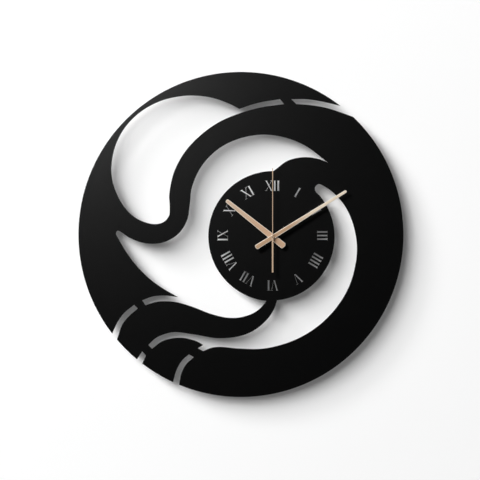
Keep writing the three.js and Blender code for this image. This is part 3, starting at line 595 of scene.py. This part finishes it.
# finish and edge radius in millimetres of each node that stays, 0 for none
KEPT_NODES = {
    "hanger_bracket": (ZINC, 0.35),
    "standoff_1": (SPACER_BLACK, 0.4),
    "standoff_2": (SPACER_BLACK, 0.4),
    "standoff_3": (SPACER_BLACK, 0.4),
    "standoff_pad_1": (RUBBER, 0.3),
    "standoff_pad_2": (RUBBER, 0.3),
    "standoff_pad_3": (RUBBER, 0.3),
    "case_front": (CASE_BLACK, 0.3),
    "rear_cover": (CASE_BLACK, 0.25),
    "train_plate": (GEAR_WHITE, 0),
    "threaded_bush": (BRASS, 0.15),
    "rubber_washer": (RUBBER, 0.15),
    "flat_washer": (COAT, 0.12),
    "hex_nut": (COAT, 0.3),
    "stator": (LAMINATION, 0),
    "coil_core": (LAMINATION, 0),
    "coil_bobbin": (GEAR_WHITE, 0),
    "coil_winding": (COPPER, 0),
    "circuit_board": (RESIST, 0),
    "driver_chip": (CHIP_BLACK, 0),
    "crystal_can": (SPRING_STEEL, 0),
    "positive_contact": (SPRING_STEEL, 0.1),
    "negative_contact": (SPRING_STEEL, 0.1),
    "rotor_magnet": (MAGNET, 0),
    "rotor_pinion": (GEAR_WHITE, 0),
    "intermediate_wheel": (GEAR_WHITE, 0),
    "second_wheel": (GEAR_WHITE, 0),
    "second_arbor": (SPRING_STEEL, 0),
    "third_wheel": (GEAR_WHITE, 0),
    "centre_wheel": (GEAR_WHITE, 0),
    "cannon_pinion": (BRASS, 0),
    "motion_wheel": (GEAR_WHITE, 0),
    "hour_wheel": (GEAR_WHITE, 0),
    "setting_gear": (GEAR_WHITE, 0),
    "setting_knob": (KNOB_GREY, 0.12),
    "second_hand_boss": (HAND_GOLD, 0.1),
}

for name, (finish, edge) in KEPT_NODES.items():
    node = NODES[name]
    node.data.materials.clear()
    node.data.materials.append(finish)
    if edge:
        node.data.shade_smooth()
        weld = node.modifiers.new("weld", "WELD")
        weld.merge_threshold = WELD_WITHIN * MM
        bevel = node.modifiers.new("edges", "BEVEL")
        bevel.width = edge * MM
        bevel.segments = 2
        bevel.limit_method = "ANGLE"
        bevel.angle_limit = math.radians(BEVEL_FROM)
        weigh_normals(node)

# ---- Stage -------------------------------------------------------------------------------------------

DISC_LOW, DISC_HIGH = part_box("face_plate")
DISC_CENTRE = (DISC_LOW + DISC_HIGH) / 2
DISC_FRONT = DISC_LOW.y


def wall_paint():
    """Matt white paint that glows faintly, clear from behind and fading into the pale room far away."""
    made = Finish("wall_paint", Specular_IOR_Level=0.1, Roughness=0.9, Emission_Strength=1.0)
    made.colour(made.mixed(made.noise(0.4, 2), (0.89, 0.89, 0.89), (0.91, 0.91, 0.91)))
    made.shader.inputs["Emission Color"].default_value = (WALL_GLOW, WALL_GLOW, WALL_GLOW, 1)
    made.bump((made.noise(0.003, 2), 0.00003))
    far = made.nodes.new("ShaderNodeVectorMath")
    far.operation = "DISTANCE"
    far.inputs[1].default_value = DISC_CENTRE
    made.links.new(made.place, far.inputs[0])
    side = made.nodes.new("ShaderNodeNewGeometry")
    share = made.nodes.new("ShaderNodeMath")
    share.operation = "MAXIMUM"
    made.links.new(side.outputs["Backfacing"], share.inputs[0])
    made.links.new(made.span(far.outputs["Value"], *WALL_FADE), share.inputs[1])
    clear = made.nodes.new("ShaderNodeBsdfTransparent")
    mix = made.nodes.new("ShaderNodeMixShader")
    made.links.new(share.outputs["Value"], mix.inputs["Fac"])
    made.links.new(made.shader.outputs["BSDF"], mix.inputs[1])
    made.links.new(clear.outputs["BSDF"], mix.inputs[2])
    made.links.new(mix.outputs["Shader"], made.nodes["Material Output"].inputs["Surface"])
    return made.material


def backdrop():
    """A wall that curves into a floor."""
    wall_y = WALL_GAP
    floor_z = DISC_CENTRE.z - FLOOR_DROP
    profile = [(wall_y, DISC_CENTRE.z + ROOM), (wall_y, floor_z + COVE)]
    steps = 16
    for step in range(1, steps + 1):
        turn = math.radians(90) * step / steps
        profile.append((wall_y - COVE + COVE * math.cos(turn), floor_z + COVE - COVE * math.sin(turn)))
    profile.append((wall_y - 2 * ROOM, floor_z))
    vertices = [(DISC_CENTRE.x + side * ROOM, y, z) for y, z in profile for side in (-1, 1)]
    faces = [(2 * i, 2 * i + 2, 2 * i + 3, 2 * i + 1) for i in range(len(profile) - 1)]
    mesh = bpy.data.meshes.new("backdrop")
    mesh.from_pydata(vertices, [], faces)
    mesh.shade_smooth()
    stage = linked("backdrop", mesh, wall_paint())
    stage.visible_shadow = False
    stage.visible_diffuse = False
    stage.visible_glossy = False


backdrop()

# ---- Light -------------------------------------------------------------------------------------------


def area_light(name, place, size, power, diffuse=True, glossy=True):
    """A round lamp that the camera can't see, aimed at the disc from a place around its middle."""
    data = bpy.data.lights.new(name, "AREA")
    data.shape = "DISK"
    data.size = size
    data.energy = power
    lamp = bpy.data.objects.new(name, data)
    lamp.location = DISC_CENTRE + Vector(place)
    lamp.rotation_euler = (DISC_CENTRE - lamp.location).to_track_quat("-Z", "Y").to_euler()
    lamp.visible_camera = False
    lamp.visible_diffuse = diffuse
    lamp.visible_glossy = glossy
    bpy.context.scene.collection.objects.link(lamp)


def room_light(ambient, mirrored, shown):
    """Even light from all around, mirrored as a room that is dark ahead, and seen as a plain pale one."""
    world = bpy.data.worlds.new("room")
    world.use_nodes = True
    nodes, links = world.node_tree.nodes, world.node_tree.links
    background = nodes["Background"]
    place = nodes.new("ShaderNodeTexCoord")
    split = nodes.new("ShaderNodeSeparateXYZ")
    ahead = nodes.new("ShaderNodeMapRange")
    ahead.inputs["From Min"].default_value = -1.0
    ahead.inputs["From Max"].default_value = -0.2
    ahead.inputs["To Min"].default_value = 0.0
    ahead.inputs["To Max"].default_value = mirrored
    links.new(place.outputs["Generated"], split.inputs["Vector"])
    links.new(split.outputs["Y"], ahead.inputs["Value"])
    ray = nodes.new("ShaderNodeLightPath")
    strength = ahead.outputs["Result"]
    for kind, level in (("Is Diffuse Ray", ambient), ("Is Camera Ray", shown)):
        pick = nodes.new("ShaderNodeMix")
        links.new(ray.outputs[kind], pick.inputs["Factor"])
        links.new(strength, pick.inputs["A"])
        pick.inputs["B"].default_value = level
        strength = pick.outputs["Result"]
    links.new(strength, background.inputs["Strength"])
    background.inputs["Color"].default_value = (1, 1, 1, 1)
    bpy.context.scene.world = world


def window_light(name, slope, radius, power):
    """One pane of the soft light from the upper left, at a slope off the line straight ahead."""
    towards = Vector((slope * math.cos(KEY_TURN), -1, slope * math.sin(KEY_TURN))).normalized()
    area_light(name, towards * KEY_DISTANCE, 2 * radius, power, glossy=False)


room_light(ambient=0.06, mirrored=0.1, shown=1.0)
window_light("window_near", slope=0.5, radius=1.85, power=314)
window_light("window_middle", slope=1.1, radius=1.55, power=343)
window_light("window_far", slope=2.2, radius=0.98, power=271)
area_light("sheen", place=(-0.36, -0.62, 0.43), size=0.25, power=8.8, diffuse=False)
area_light("behind_left", place=(-1.5, 1.5, 0.7), size=1.5, power=70)
area_light("behind_right", place=(1.5, 1.5, 0.7), size=1.5, power=110)

# ---- Camera ------------------------------------------------------------------------------------------

lens = bpy.data.cameras.new("camera")
camera = bpy.data.objects.new("camera", lens)
bpy.context.scene.collection.objects.link(camera)
camera.location = (
    DISC_CENTRE.x - CAMERA_LEFT,
    DISC_FRONT - CAMERA_DISTANCE,
    DISC_CENTRE.z - CAMERA_BELOW,
)
camera.rotation_euler = (math.radians(90), 0, 0)
lens.sensor_width = 36
lens.lens = lens.sensor_width * CAMERA_DISTANCE / VIEW_WIDTH
lens.clip_start = 0.05
lens.clip_end = 50
bpy.context.scene.camera = camera
bpy.context.scene.view_settings.view_transform = "Standard"
